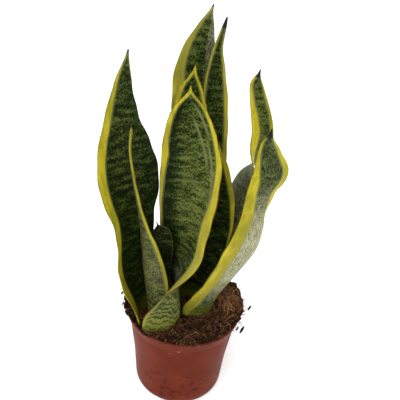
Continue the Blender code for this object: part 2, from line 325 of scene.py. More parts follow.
# %% Stations of the leaves
LEAVES = {
    "leaf_left_tall": [
        (-44, -8, 97, 26, -22, 105, 0),
        (-58, -6, 149, 29, -36, 105, 0),
        (-60, -5, 202, 29, -42, 95, -60),
        (-62, -2, 240, 35, -55, 70, -80),
        (-67, 0, 275, 30, -62, 50, -80),
        (-71, 3, 310, 18, -66, 40, -90),
        (-71, 6, 345, 8, -66, 30, -60),
        (-68, 10, 372),
    ],
    "leaf_left_inner": [
        (-31, -18, 97, 15, 50, 110, 0),
        (-34, -18, 140, 18, 55, 100, 0),
        (-41, -17, 180, 15, 45, 90, 0),
        (-49, -17, 220, 9, 25, 60, 0),
        (-56, -19, 260, 6, 12, 50, 0),
        (-60, -21, 295, 3, 10, 20, 0),
        (-59, -23, 314),
    ],
    "leaf_front_broad": [
        (-11, -31, 97, 31, 137, 125, 0),
        (-8, -26, 120, 31, 152, 125, -30),
        (-7, -17, 148, 29, 184, 120, -75),
        (-2, -12, 180, 30, 215, 110, -75),
        (-2, -12, 212, 30, 235, 100, -35),
        (-1, -12, 247, 32, 250, 90, 0),
        (-3, -11, 283, 30, 258, 70, 0),
        (-7, -11, 308, 25, 262, 60, 0),
        (-10, -9, 333, 14, 265, 40, 0),
        (-11, -8, 352),
    ],
    "leaf_centre": [
        (10, 20, 97, 15, -110, 130, 0),
        (14, 23, 130, 22, -108, 120, 0),
        (16, 25, 165, 27, -102, 110, -20),
        (14, 27, 209, 30, -97, 100, -40),
        (7, 26, 255, 26, -94, 85, -20),
        (-7, 25, 297, 18, -92, 65, 0),
        (-11, 24, 335, 11, -90, 40, 0),
        (-9, 24, 358),
    ],
    "leaf_back_tallest": [
        (-8, 48, 97, 15, -90, 110, 0),
        (-8, 50, 180, 19, -88, 80, 0),
        (-7, 52, 264, 21, -87, 70, -80),
        (-8, 53, 318, 23, -87, 60, -100),
        (-9, 53, 341, 21, -87, 50, -90),
        (-7, 51, 366, 15, -88, 50, -70),
        (-3, 50, 386, 8, -87, 40, -50),
        (2, 48, 407),
    ],
    "leaf_back_slim": [
        (15, 38, 97, 11, -90, 105, 0),
        (15, 38, 180, 14, -90, 90, 0),
        (14, 39, 264, 15, -90, 70, 0),
        (11, 41, 330, 11.5, -90, 60, 0),
        (10, 41, 348, 9, -90, 60, 0),
        (10, 40, 370, 4.5, -90, 50, 0),
        (15, 38, 400),
    ],
    "leaf_right_front": [
        (21, -9, 97, 23, 128, 130, 0),
        (28, -10, 120, 26, 138, 125, -50),
        (42, -12, 150, 28, 136, 112, -80),
        (58, -12, 190, 24, 126, 95, -40),
        (61, -12, 222, 16, 124, 80, 0),
        (65, -12, 253, 17, 118, 60, 0),
        (70, -11, 271, 19, 113, 50, 0),
        (66, -10, 289, 13.5, 112, 40, 0),
        (63, -9, 304, 7, 108, 30, 0),
        (64, -8, 318),
    ],
    "leaf_right_back": [
        (32, 30, 97, 10.5, -50, 115, 0),
        (35, 39, 155, 15, 25, 110, 0),
        (40, 43, 205, 21, 40, 105, 0),
        (47, 43, 232, 23, 30, 100, 50),
        (55, 41, 254, 21, -12, 100, 20),
        (59, 38, 279, 13.5, -63, 80, 0),
        (57, 36, 306, 10.5, -80, 65, 0),
        (51, 36, 328, 8, -84, 45, 0),
        (48, 36, 344, 5, -84, 40, 0),
        (50, 36, 355),
    ],
    "leaf_small_inner": [
        (-24, -5, 97, 7, -70, 110, 0),
        (-25, -6, 140, 10, -72, 110, 0),
        (-26, -8, 170, 11, -75, 95, 0),
        (-27, -9, 188, 11, -78, 75, 0),
        (-30, -10, 201, 8, -80, 60, 0),
        (-33, -11, 209),
    ],
}
FOOT_DEPTH = 17.0
FOOT_NARROWING = 0.8
AWL_LENGTH = 4.0
AWL_HALF_WIDTH = 1.3
AWL_CHANNEL = 20.0
TIP_HALF_WIDTH = 0.6
ROLL_START = 0.35
ROLL_POWER = 1.5
SECTION_SAMPLES = 24
TANGENT_STEP = 0.002
print(len(LEAVES), "leaves")


# %% The leaf's middle surface
def smooth_path(values, at):
    """Values along a path through the stations: cubic pieces that share slopes at each station.

    The first three columns are a position, and the path's parameter is the distance between
    positions. A slope is the weighted mean of the straight slopes on its two sides.
    """
    step = np.linalg.norm(np.diff(values[:, :3], axis=0), axis=1)
    knots = np.concatenate([[0.0], np.cumsum(step)])
    straight = np.diff(values, axis=0) / step[:, None]
    slopes = np.empty_like(values)
    before, after = step[:-1, None], step[1:, None]
    slopes[1:-1] = (straight[:-1] * after + straight[1:] * before) / (before + after)
    slopes[0] = 1.5 * straight[0] - 0.5 * slopes[1]
    slopes[-1] = 1.5 * straight[-1] - 0.5 * slopes[-2]
    distance = at * knots[-1]
    piece = np.clip(np.searchsorted(knots, distance, side="right") - 1, 0, len(step) - 1)
    span = step[piece][:, None]
    q = (distance - knots[piece])[:, None] / span
    return (
        (1 + 2 * q) * (1 - q) ** 2 * values[piece]
        + q * (1 - q) ** 2 * span * slopes[piece]
        + q**2 * (3 - 2 * q) * values[piece + 1]
        + q**2 * (q - 1) * span * slopes[piece + 1]
    )


def full_stations(stations, tip):
    """Add the buried foot below the first station, and the awl and the point above the last."""
    rows = np.array(stations, dtype=float)
    foot = rows[0].copy()
    foot[2] -= FOOT_DEPTH
    foot[3] *= FOOT_NARROWING
    tip = np.array(tip, dtype=float)
    back = rows[-1, :3] - tip
    awl_foot = tip + back / np.linalg.norm(back) * AWL_LENGTH
    facing = rows[-1, 4]
    awl = np.array([*awl_foot, AWL_HALF_WIDTH, facing, AWL_CHANNEL, 0])
    point = np.array([*tip, TIP_HALF_WIDTH, facing, 0, 0])
    return np.vstack([foot, rows, awl, point])


def section(u, channel, roll):
    """The blade's section, for u from -1 at the left margin to 1 at the right.

    Its direction turns evenly from margin to margin through the channel angle, and the last part
    of the right side turns further by the roll. Returned are the distance across, the rise
    towards the hollow side and the direction, for a half width of 1.
    """
    middles = (np.arange(SECTION_SAMPLES) + 0.5) / SECTION_SAMPLES

    def turning(along):
        rolled = np.clip((along - ROLL_START) / (1 - ROLL_START), 0, 1) ** ROLL_POWER
        by_row = (-1,) + (1,) * (along.ndim - 1)
        even = np.radians(channel).reshape(by_row) / 2 * along
        return even + np.radians(roll).reshape(by_row) * rolled

    direction = turning(u[..., None] * middles)
    across = u * np.cos(direction).mean(axis=-1)
    rise = u * np.sin(direction).mean(axis=-1)
    return across, rise, turning(u)


# %% [markdown]
# ## The leaves' flesh
#
# The plain solids are one even thickness. A real leaf is thickest along its middle and thins to a
# rounded margin, so here the surface is given a face on each side, half a thickness away along
# its own normal. The margins also wander a little, because no leaf edge is quite straight.

# %% Thickness and margins
LEAF_ROWS = 170
ROW_CROWDING = 1.3
FACE_POINTS = 43
MARGIN_POINTS = 3
MIDDLE_THICKNESS = 2.6
MARGIN_THICKNESS = 1.1
MARGIN_RADIUS = 0.55
# A margin takes up no more than this part of the half width, and no section is thicker than this
# many half widths.
MARGIN_LIMIT = 0.4
THICKNESS_LIMIT = 1.6
# The wave is full where the half width and the distance from the soil are above these, in mm.
WAVE_HEIGHT = 0.5
WAVE_LENGTH = 31.0
WAVE_HALF_WIDTH = 12
WAVE_START = 40


def section_places(half):
    """Places round a section: the hollow face from left to right, then the outer face back.

    Each row has u, the place across the blade, and a fraction of the full thickness, which
    falls as a quarter circle over the last margin radius. Both come as (rows, around) grids.
    """
    edge = np.minimum(MARGIN_RADIUS / half, MARGIN_LIMIT)[:, None]
    flat = np.linspace(-1, 1, FACE_POINTS) * (1 - edge)
    quarter = (np.arange(MARGIN_POINTS) + 1) / MARGIN_POINTS * math.pi / 2
    right = 1 - edge + edge * np.sin(quarter)
    face = np.hstack([-right[:, ::-1], flat, right])
    full = np.ones(FACE_POINTS)
    share = np.hstack([np.cos(quarter)[::-1], full, np.cos(quarter)])
    u = np.hstack([face, face[:, -2:0:-1]])
    fraction = np.hstack([share, -share[-2:0:-1]])
    return u, np.broadcast_to(fraction, u.shape)


def leaf_grid(stations, tip, seed):
    """Points of a leaf's skin in mm, and what the material needs to know about each of them.

    A point is the middle line, plus the section's distance across and rise times the half width,
    plus half the thickness along the section's normal. The wave moves the margins along the
    normal by u cubed times a sine of the distance along the leaf. The rows crowd towards the tip.
    """
    rows = full_stations(stations, tip)
    v = 1 - (1 - np.linspace(0, 1, LEAF_ROWS)) ** ROW_CROWDING
    here = smooth_path(rows, v)
    ahead = smooth_path(rows, np.clip(v + TANGENT_STEP, 0, 1))
    behind = smooth_path(rows, np.clip(v - TANGENT_STEP, 0, 1))
    tangent = ahead[:, :3] - behind[:, :3]
    tangent /= np.linalg.norm(tangent, axis=1)[:, None]
    facing = np.radians(here[:, 4])
    hollow = np.stack([np.cos(facing), np.sin(facing), np.zeros_like(facing)], axis=1)
    hollow -= (hollow * tangent).sum(axis=1)[:, None] * tangent
    hollow /= np.linalg.norm(hollow, axis=1)[:, None]
    side = np.cross(tangent, hollow)
    half = np.maximum(here[:, 3], TIP_HALF_WIDTH)
    u, fraction = section_places(half)
    across, rise, direction = section(u, here[:, 5], here[:, 6])
    step = np.linalg.norm(np.diff(here[:, :3], axis=0), axis=1)
    along = np.concatenate([[0.0], np.cumsum(step)]) - FOOT_DEPTH
    thickness = MARGIN_THICKNESS + (MIDDLE_THICKNESS - MARGIN_THICKNESS) * (1 - u**2)
    thickness = np.minimum(thickness, THICKNESS_LIMIT * half[:, None])
    wave = WAVE_HEIGHT * u**3 * np.sin(math.tau * along / WAVE_LENGTH + seed)[:, None]
    wave *= np.clip(half / WAVE_HALF_WIDTH, 0, 1)[:, None]
    wave *= np.clip(along / WAVE_START, 0, 1)[:, None]
    out = fraction * thickness / 2 + wave
    points = (
        here[:, None, :3]
        + (across * half[:, None] - out * np.sin(direction))[..., None] * side[:, None]
        + (rise * half[:, None] + out * np.cos(direction))[..., None] * hollow[:, None]
    )
    facts = {
        "u": u,
        "across": u * half[:, None],
        "along": np.broadcast_to(along[:, None], u.shape),
        "half": np.broadcast_to(half[:, None], u.shape),
        "hollow_side": (fraction > 0).astype(float),
        "to_tip": np.broadcast_to((along[-1] - along)[:, None], u.shape),
    }
    return points, facts


# %% [markdown]
# ## What the leaves' colours do
#
# The yellow margin is a strip of flesh with no green in it, and its width differs from leaf to leaf
# and along each leaf. The dark spike at the tip, the awl, is dry and hard. The outer faces, and the
# turned-back right third of some leaves, are painted with a grey sheen, a painted reflection of the
# white surroundings, and the left side of one leaf is painted darker as painted shade. Each leaf's
# looks are given here as a few widths and amounts.

# %% Looks of the leaves
# Six numbers are values at LOOK_PLACES, which are parts of the way from the soil to the tip, and
# one number holds all the way. left and right are the yellow margins' widths in mm, and below 0
# there is no yellow. light is how much of the blade is pale, bars how strong its cross-bars are,
# dull how far the yellow turns a duller olive and bloom how much grey painted sheen lies on the
# outer face. These are always one number: rolled is the same painted sheen on the right third,
# outer scales the margins on the outer face, flank is painted shade on the left side, brown dries
# the margins' edges, and awl is the dark tip's length in mm.
# A stripe is a pale line: its distance from the right margin in mm, and where it begins and ends.
LOOK_PLACES = (0.0, 0.08, 0.25, 0.5, 0.75, 0.95)
PLAIN_LOOK = {
    "bars": (0.4, 0.4, 0.35, 0.3, 0.3, 0.3), "painted_sheen": 0.3, "outer": 1.0, "dull": 0.15,
    "rolled": 0.0, "flank_shade": 0.0, "brown": 0.35, "awl": 1.0, "stripes": (),
}
LOOKS = {
    "leaf_left_tall": {
        "left": (14, 16, 14, 11, 8, 0.6), "right": (-2, -2, -3, -2, -1, 0.3),
        "light": (0.0, 0.0, 0.05, 0.1, 0.25, 0.3), "brown": 0.7, "awl": 3,
    },
    "leaf_left_inner": {
        "left": (2, 2.5, 3.5, 3.2, 2, 1), "right": (2, 2, 2.5, 2.5, 2, 1),
        "light": (0.5, 0.55, 0.6, 0.45, 0.3, 0.2), "bars": (0.8, 0.7, 0.5, 0.4, 0.3, 0.3),
        "dull": 0.45, "painted_sheen": (0.05, 0.05, 0.3, 0.15, 0.1, 0.1),
    },
    "leaf_front_broad": {
        "left": (3, 3, 3, 1.8, 6, 3.8), "right": (5, 7, 8, 12.5, 5.5, 2.5),
        "light": (0.9, 0.8, 0.30, 0.6, 0.55, 0.25), "bars": (0.9, 0.9, 0.5, 0.3, 0.4, 0.4),
        "painted_sheen": (0.1, 0.1, 0.2, 0.2, 0.2, 0.2), "dull": (0.8, 0.9, 0.9, 0.6, 0.15, 0.15),
        "outer": 0.45, "flank_shade": 0.6, "brown": 0.9,
        "stripes": ((11.5, 0.5, 0.82), (17.0, 0.68, 0.90), (8.5, 0.80, 0.95)),
    },
    "leaf_centre": {
        "left": (-3, -3, 3, 6, 7, 2.5), "right": (-2, -1, 0.5, 5, 5, 2),
        "light": (0.0, 0.05, 0.1, 0.15, 0.2, 0.2), "bars": (0.7, 0.7, 0.7, 0.5, 0.4, 0.3),
        "brown": 0.5,
    },
    "leaf_back_tallest": {
        "left": (6, 6, 8, 10, 12, 2), "right": 0.3,
        "light": (0.1, 0.1, 0.15, 0.2, 0.3, 0.45), "dull": 0.75, "rolled": 0.55, "awl": 2,
    },
    "leaf_back_slim": {
        "left": (2.5, 2.5, 2.5, 2.5, 2, 0.8), "right": (3, 3, 4, 4, 3.5, 0.5),
        "light": (0.1, 0.1, 0.2, 0.3, 0.3, 0.1), "dull": 0.45, "awl": 11,
    },
    "leaf_right_front": {
        "left": (1, 2, 3, 4, 9.5, 2), "right": (6, 13, 17, 12.5, 8.5, 1.5),
        "light": (0.4, 0.4, 0.5, 0.5, 0.25, 0.2), "bars": (0.9, 0.7, 0.3, 0.2, 0.4, 0.4),
        "painted_sheen": (0.0, 0.1, 1.5, 1.8, 0.15, 0.1), "dull": (0.6, 0.6, 0.65, 0.6, 0.2, 0.15),
        "awl": 9,
    },
    "leaf_right_back": {
        "left": (4, 5, 8, 10, 9.5, 1.8), "right": (3, 3, 4, 4, 3.5, 0.8),
        "light": (0.1, 0.1, 0.15, 0.25, 0.7, 0.5), "painted_sheen": (0.3, 0.3, 0.3, 0.5, 0.4, 0.3),
        "outer": 0.4, "awl": 8,
    },
    "leaf_small_inner": {
        "left": -3, "right": (-3, -3, -3, -2, -1, -1), "light": 0.0, "dull": 0.9, "awl": 2,
    },
}
# How far apart the pattern is read on two leaves, and on a leaf's two faces.
LEAF_SEED_STEP = 37.0
FACE_SEED_STEP = 9
# Added to light on the outer face, which is painted paler as painted sheen.
OUTER_SHEEN = 0.12
# Where across the blade the painted shade on the left side and the painted sheen on the right third
# begin, and over how much they build.
FLANK_START, FLANK_SPREAD = -0.3, 0.4
ROLLED_START, ROLLED_SPREAD = 0.3, 0.25
STRIPE_WIDTH = 1.1
STRIPE_FADE = 0.04


def leaf_facts(facts, given):
    """The material's values at each point of a leaf.

    band is how far inside a yellow margin the point is, in mm, and is below 0 in the green.
    """
    look = {**PLAIN_LOOK, **given}
    place = np.clip(facts["along"] / facts["along"].max(), 0, 1)

    def values(name):
        return np.interp(place, LOOK_PLACES, np.broadcast_to(look[name], len(LOOK_PLACES)))

    outer = 1 - facts["hollow_side"]
    narrowing = 1 - outer * (1 - look["outer"])
    from_left = facts["half"] * (1 + facts["u"])
    from_right = facts["half"] * (1 - facts["u"])
    left = values("left") * narrowing
    right = values("right") * narrowing
    # Painted shade: the left side of the blade is painted darker, where its hollow is out of the
    # light.
    flank_shade = look["flank_shade"] * np.clip((FLANK_START - facts["u"]) / FLANK_SPREAD, 0, 1)
    # Painted sheen on the right third, where it turns back away from the light.
    rolled = look["rolled"] * np.clip((facts["u"] - ROLLED_START) / ROLLED_SPREAD, 0, 1)
    stripe = np.zeros_like(place)
    for distance, start, end in look["stripes"]:
        inside = np.clip(np.minimum(place - start, end - place) / STRIPE_FADE, 0, 1)
        line = np.exp(-(((from_right - distance) / STRIPE_WIDTH) ** 2))
        stripe = np.maximum(stripe, inside * line)
    return {
        "band": np.maximum(left - from_left, right - from_right),
        "edge": np.minimum(from_left, from_right),
        "light": values("light") + OUTER_SHEEN * outer - flank_shade,
        "bars": values("bars"),
        # Painted sheen: a grey painted reflection on the outer face and on the rolled right third.
        "painted_sheen": values("painted_sheen") * outer + rolled,
        "awl": look["awl"] - facts["to_tip"],
        "foot": facts["along"],
        "dull": values("dull"),
        "brown": np.full_like(place, look["brown"]),
        "stripe": stripe * facts["hollow_side"],
    }


print("looks for", len(LOOKS), "leaves")

# %% [markdown]
# ## Leaf flesh, as a material
#
# The green has three scales of pattern. Ragged cross-bands run over the blade, drawn out sideways
# and torn at their edges by fine lengthwise streaks. Inside them are small blotches, and over all
# of it is the fine grain of the skin. The coordinates are millimetres across and along the blade,
# so the pattern follows the leaf wherever it bends.

# %% Leaf material
DARK_GREEN = (0.0045, 0.0085, 0.0015)
MID_GREEN = (0.026, 0.044, 0.006)
PALE_GREEN = (0.138, 0.156, 0.036)
# The grey of the painted sheen, a painted reflection of the white surroundings on faces that turn
# away.
SHEEN_GREY = (0.40, 0.385, 0.25)
YELLOW = (0.43, 0.350, 0.007)
PALE_YELLOW = (0.52, 0.44, 0.030)
OLIVE = (0.20, 0.21, 0.007)
MUSTARD = (0.27, 0.205, 0.006)
DULL_YELLOW = (0.195, 0.183, 0.036)
GREY_GREEN = (0.160, 0.172, 0.060)
EDGE_BROWN = (0.050, 0.022, 0.010)
AWL_BROWN = (0.016, 0.015, 0.010)
BAR_SPACING = 6.0


def leaf_material():
    """Dark green with pale ragged cross-bands, yellow margins, a grey painted sheen and a dark tip.
    """
    leaf = Shader("leaf_flesh")
    blade = leaf.attribute("blade", output="Vector")
    band = leaf.attribute("band")
    light = leaf.attribute("light")

    streaks = leaf.drawn_noise(blade, (1.3, 0.09, 1))
    tear = leaf.node("ShaderNodeCombineXYZ", None, {"Y": (streaks - 0.5) * 9})
    torn = leaf.node("ShaderNodeVectorMath", {"operation": "ADD"}, {0: blade, 1: tear})
    bands = leaf.drawn_noise(torn, (0.06, 0.24, 1))
    dashes = leaf.drawn_noise(torn, (0.38, 0.75, 1), 3.0, 0.65)
    grain = leaf.drawn_noise(blade, (0.62, 0.50, 1), 3.0, 0.75)
    sway = leaf.drawn_noise(blade, (0.10, 0.04, 1))

    pattern = bands * 0.34 + dashes * 0.28 + grain * 0.38 + (light - 0.4) * 0.12
    green = leaf.mix(pattern.smooth(0.46, 0.50), DARK_GREEN, MID_GREEN)
    green = leaf.mix(pattern.smooth(0.50, 0.54) * (light * 0.75 + 0.25), green, PALE_GREEN)
    along = leaf.node("ShaderNodeSeparateXYZ", None, {0: blade}, output=1)
    bar = (along * (math.tau / BAR_SPACING) + sway * 24 + streaks * 2.5).math("SINE")
    bar = (bar + (dashes - 0.5) * 2).smooth(0.1, 0.7) * leaf.attribute("bars")
    green = leaf.mix(bar, green, DARK_GREEN)
    # Painted sheen: a grey painted reflection laid over the green of the outer faces and rolled
    # thirds.
    sheen_amount = leaf.attribute("painted_sheen") * ((streaks * 0.8 + grain * 0.6).smooth(0.45, 0.95) * 0.7)
    green = leaf.mix(sheen_amount.math("MINIMUM", sheen_amount, 0.9), green, SHEEN_GREY)
    green = leaf.mix(leaf.attribute("stripe") * 0.8, green, GREY_GREEN)

    lengthwise = leaf.drawn_noise(blade, (0.45, 0.012, 1), 3.0)
    drift = leaf.drawn_noise(blade, (0.06, 0.03, 1))
    yellow = leaf.mix(lengthwise.smooth(0.30, 0.70) * band.smooth(0, 3), YELLOW, PALE_YELLOW)
    olive = (1 - leaf.attribute("edge").smooth(0.0, 1.6)) * 0.3 + drift.smooth(0.44, 0.66) * 0.7
    yellow = leaf.mix(olive, yellow, OLIVE)
    patches = leaf.drawn_noise(blade, (0.30, 0.07, 1), 3.0, 0.6)
    yellow = leaf.mix(patches.smooth(0.46, 0.64) * 0.55, yellow, MUSTARD)
    # Where dull is high, the yellow turns a duller, greyer olive.
    dulled = leaf.attribute("dull") * (1 - band.smooth(4, 12) * 0.6)
    yellow = leaf.mix(dulled, yellow, DULL_YELLOW)
    wander = band + (lengthwise - 0.5) * 1.8
    colour = leaf.mix(wander.smooth(-2.0, -0.6) * 0.45, green, GREY_GREEN)
    colour = leaf.mix(wander.smooth(-0.5, 0.9), colour, yellow)
    dry_edge = 1 - (leaf.attribute("edge") + (lengthwise - 0.5) * 2).smooth(0.05, 0.4)
    colour = leaf.mix(dry_edge * leaf.attribute("brown"), colour, EDGE_BROWN)
    foot = 1 - leaf.attribute("foot").smooth(0, 20)
    colour = leaf.mix(foot * 0.3, colour, OLIVE)
    dry = (leaf.attribute("awl") + (streaks - 0.5) * 5).smooth(-1.5, 1.5)
    colour = leaf.mix(dry, colour, AWL_BROWN)

    ridges = lengthwise * 0.6 + streaks * 0.25 + grain * 0.15
    return leaf.finish({
        "Base Color": colour,
        "Roughness": grain * 0.14 + 0.38 + dry * 0.3,
        "Normal": leaf.bump(ridges, 0.35 * MM, 0.8),
        "Specular IOR Level": 0.04,
    })


flesh = leaf_material()
print("nodes in the leaf material:", len(flesh.node_tree.nodes))


# %% Make the leaves
def make_leaf(name, number):
    """One leaf as a closed skin, in the place of its plain solid."""
    seed = LEAF_SEED_STEP * number
    *stations, tip = LEAVES[name]
    points, facts = leaf_grid(stations, tip, seed)
    poles = np.stack([points[0].mean(axis=0), points[-1].mean(axis=0)])
    piece = build_tube(name + "_skin", points, poles, flesh, "leaf_flesh", name)

    def with_poles(grid):
        return np.concatenate([grid.ravel(), [grid[0].mean(), grid[-1].mean()]])

    for fact, grid in leaf_facts(facts, LOOKS[name]).items():
        point_values(piece, fact, with_poles(grid))
    across = with_poles(facts["across"])
    along = with_poles(facts["along"])
    side = with_poles(facts["hollow_side"]) * FACE_SEED_STEP + seed
    point_values(piece, "blade", np.stack([across, along, side], axis=-1))
    return piece


def box_error(piece, node):
    """The furthest that a side of a piece's box is from the same side of its solid's, in mm."""
    points = np.empty(len(piece.data.vertices) * 3)
    piece.data.vertices.foreach_get("co", points)
    points = points.reshape(-1, 3)
    low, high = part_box(node)
    sides = np.stack([points.min(axis=0) - low, points.max(axis=0) - high])
    return np.abs(sides).max() / MM


for number, name in enumerate(LEAVES):
    skin = make_leaf(name, number)
    error = round(box_error(skin, name), 1)
    print(skin.name, len(skin.data.polygons), "faces, within", error, "mm of its solid's box")

# %% [markdown]
# ## The pot
#
# A nursery pot is blown or moulded so thin that it flexes in the hand. Its profile is turned
# round the middle: up the inside, over a rolled lip, and down past a collar that stiffens the
# rim and lets pots stack. The corners are rounded by splitting each one into short arcs. The
# drain slots cross the bottom corner, and are cut with a Boolean.

# %% Sizes of the pot
POT_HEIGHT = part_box("pot")[1][2] / MM
RIM_RADIUS = 60.0
COLLAR_RADIUS = 56.0
WAIST_HEIGHT = 45.0
WAIST_RADIUS = 50.0
CORNER_HEIGHT = 8.0
CORNER_RADIUS = 47.0
FOOT_RADIUS = 43.0
WALL = 1.3
POT_FLOOR = 2.0
COLLAR_HEIGHT = 11.0
COLLAR_STEP = 0.5
COLLAR_SLOPE = 0.7
LIP_WIDTH = 2.4
LIP_DEPTH = 2.4
LIP_BEVEL = 0.4
RIM_BEVEL = 0.1
LIP_SIDE = 1.2
AXIS_HOLE = 0.4
PROFILE_ROUNDING = 4.0
PROFILE_STEP = 3.0
SLOTS = 8
SLOT_SIZE = (15.0, 12.0, 8.0)
SLOT_MIDDLE = 39.5
FIRST_SLOT = math.radians(-30.0)
POT_AROUND = 256
print("pot is", round(POT_HEIGHT, 1), "mm high and", 2 * RIM_RADIUS, "mm wide")


# %% Profile of the pot
def wall_radius(height):
    """Outside radius at a height: straight from foot to corner, waist, collar and rim."""
    heights = (0.0, CORNER_HEIGHT, WAIST_HEIGHT, POT_HEIGHT - COLLAR_HEIGHT, POT_HEIGHT)
    radii = (FOOT_RADIUS, CORNER_RADIUS, WAIST_RADIUS, COLLAR_RADIUS, RIM_RADIUS)
    return float(np.interp(height, heights, radii))


def inner_radius(height):
    """Inside radius of the wall at a height."""
    return wall_radius(height) - COLLAR_STEP - WALL


def rounded(corners, radius, steps=5):
    """A line through corners with each inner one replaced by a curve of about this radius.

    The curve is the quadratic one from a point before the corner to a point after it, with the
    corner as its control point.
    """
    corners = np.array(corners, dtype=float)
    before, middle, after = corners[:-2], corners[1:-1], corners[2:]
    inward, outward = before - middle, after - middle
    length_in = np.linalg.norm(inward, axis=1)[:, None]
    length_out = np.linalg.norm(outward, axis=1)[:, None]
    reach = np.minimum(radius, 0.45 * np.minimum(length_in, length_out))
    start = middle + inward / length_in * reach
    end = middle + outward / length_out * reach
    t = np.linspace(0, 1, steps)[None, :, None]
    curve = (1 - t) ** 2 * start[:, None] + 2 * t * (1 - t) * middle[:, None] + t**2 * end[:, None]
    return np.vstack([corners[:1], curve.reshape(-1, 2), corners[-1:]])


def divided(line, longest):
    """A line with points added so that no part of it is longer than this."""
    lengths = np.linalg.norm(np.diff(line, axis=0), axis=1)
    distance = np.concatenate([[0.0], np.cumsum(lengths)])
    extra = np.arange(0, distance[-1], longest)
    at = np.unique(np.concatenate([distance, extra]).round(4))
    return np.stack([np.interp(at, distance, column) for column in line.T], axis=1)


def turned(profile, around):
    """Points of a profile of (radius, height) turned round Z, as a (rows, around, 3) grid."""
    angle = np.arange(around) / around * math.tau
    radius, height = profile[:, :1], profile[:, 1:]
    return np.stack([radius * np.cos(angle), radius * np.sin(angle), height + 0 * angle], axis=-1)


collar_foot = POT_HEIGHT - COLLAR_HEIGHT
lip_foot = POT_HEIGHT - LIP_DEPTH
bends = (CORNER_HEIGHT, WAIST_HEIGHT, collar_foot)
pot_line = rounded(
    [
        (AXIS_HOLE, POT_FLOOR),
        (inner_radius(POT_FLOOR), POT_FLOOR),
        *((inner_radius(height), height) for height in bends),
        (inner_radius(lip_foot), lip_foot),
        (RIM_RADIUS - LIP_WIDTH, POT_HEIGHT - LIP_SIDE),
        (RIM_RADIUS - LIP_WIDTH + LIP_BEVEL, POT_HEIGHT),
        (RIM_RADIUS - RIM_BEVEL, POT_HEIGHT),
        (COLLAR_RADIUS, collar_foot),
        (COLLAR_RADIUS - COLLAR_STEP, collar_foot - COLLAR_SLOPE),
        (WAIST_RADIUS - COLLAR_STEP, WAIST_HEIGHT),
        (CORNER_RADIUS - COLLAR_STEP, CORNER_HEIGHT),
        (FOOT_RADIUS - COLLAR_STEP, 0.0),
        (AXIS_HOLE, 0.0),
    ],
    PROFILE_ROUNDING,
)
print("pot profile has", len(pot_line), "points")

# %% [markdown]
# The plastic has an even satin finish from a polished mould. What makes it look real is small:
# faint rings where it was blown, dull dusty patches, soil stains under the rim, and darker
# blotches low down where it has been wet.

# %% Pot material
TERRACOTTA = (0.104, 0.0165, 0.0068)
PALE_TERRACOTTA = (0.175, 0.034, 0.015)
WET_TERRACOTTA = (0.050, 0.0075, 0.0045)
SOIL_DUST = (0.10, 0.055, 0.034)
SCUFF_PINK = (0.34, 0.15, 0.11)
# Each scuff's middle and radius, in metres.
SCUFFS = (
    ((0.0, -0.056, 0.086), 0.0018),
    ((-0.010, -0.055, 0.081), 0.0014),
    ((-0.0085, -0.055, 0.0815), 0.0012),
)


def pot_material():
    """Satin terracotta-coloured plastic with faint rings, wet blotches low down and dust above."""
    pot = Shader("pot_plastic")
    place = pot.place()
    height = pot.node("ShaderNodeSeparateXYZ", None, {0: place}, output=2) * (1 / MM)
    cloud = pot.noise(place, 38.0, 3.0)
    blotch = pot.noise(place, 150.0, 4.0, 0.6)
    speck = pot.noise(place, 900.0)
    rings = pot.drawn_noise(place, (6, 6, 420))
    low_down = 1 - height.smooth(20, 75)
    wet = blotch.smooth(0.48, 0.64) * (low_down * 0.7 + 0.08)
    dust = (cloud * 0.5 + speck * 0.5).smooth(0.54, 0.66) * height.smooth(80, 98)
    colour = pot.mix(cloud.smooth(0.35, 0.7) * 0.35, TERRACOTTA, PALE_TERRACOTTA)
    colour = pot.mix(wet, colour, WET_TERRACOTTA)
    colour = pot.mix(dust * 0.07, colour, SOIL_DUST)
    for centre, size in SCUFFS:
        ends = {0: place, 1: centre}
        away = pot.node("ShaderNodeVectorMath", {"operation": "DISTANCE"}, ends, output=1)
        near = 1 - (away * (1 / size) + (speck - 0.5)).smooth(0.5, 1.0)
        colour = pot.mix(near * 0.7, colour, SCUFF_PINK)
    return pot.finish({
        "Base Color": colour,
        "Roughness": cloud * 0.12 + dust * 0.25 + 0.36,
        "Normal": pot.bump(rings * 0.7 + cloud * 0.3, 0.25 * MM, 0.35),
        "Specular IOR Level": 0.03,
    })


# %% Make the pot
def slot_cutter():
    """A block across the bottom corner for each drain slot, in one mesh."""
    size = Matrix.Diagonal((*(side * MM for side in SLOT_SIZE), 1.0))
    outward = Matrix.Translation((SLOT_MIDDLE * MM, 0.0, 0.0))
    blocks = bmesh.new()
    for index in range(SLOTS):
        spin = Matrix.Rotation(FIRST_SLOT + math.tau * index / SLOTS, 4, "Z")
        bmesh.ops.create_cube(blocks, size=1.0, matrix=spin @ outward @ size)
    mesh = bpy.data.meshes.new("slot_cutter")
    blocks.to_mesh(mesh)
    blocks.free()
    return add_object("slot_cutter", mesh)


def make_pot():
    """Turn the profile, then cut the drain slots and keep the result as a plain mesh."""
    points = turned(divided(pot_line, PROFILE_STEP), POT_AROUND)
    poles = np.array([[0.0, 0.0, POT_FLOOR], [0.0, 0.0, 0.0]])
    pot = build_tube("nursery_pot", points, poles, pot_material(), "pot_plastic", "pot", True)
    cutter = slot_cutter()
    cut = pot.modifiers.new("drain_slots", "BOOLEAN")
    cut.solver = "EXACT"
    cut.object = cutter
    cut_pot = pot.evaluated_get(bpy.context.evaluated_depsgraph_get())
    cut_mesh = bpy.data.meshes.new_from_object(cut_pot)
    pot.modifiers.clear()
    pot.data = cut_mesh
    bpy.data.objects.remove(cutter, do_unlink=True)
    return pot


pot = make_pot()
print(pot.name, len(pot.data.polygons), "faces")

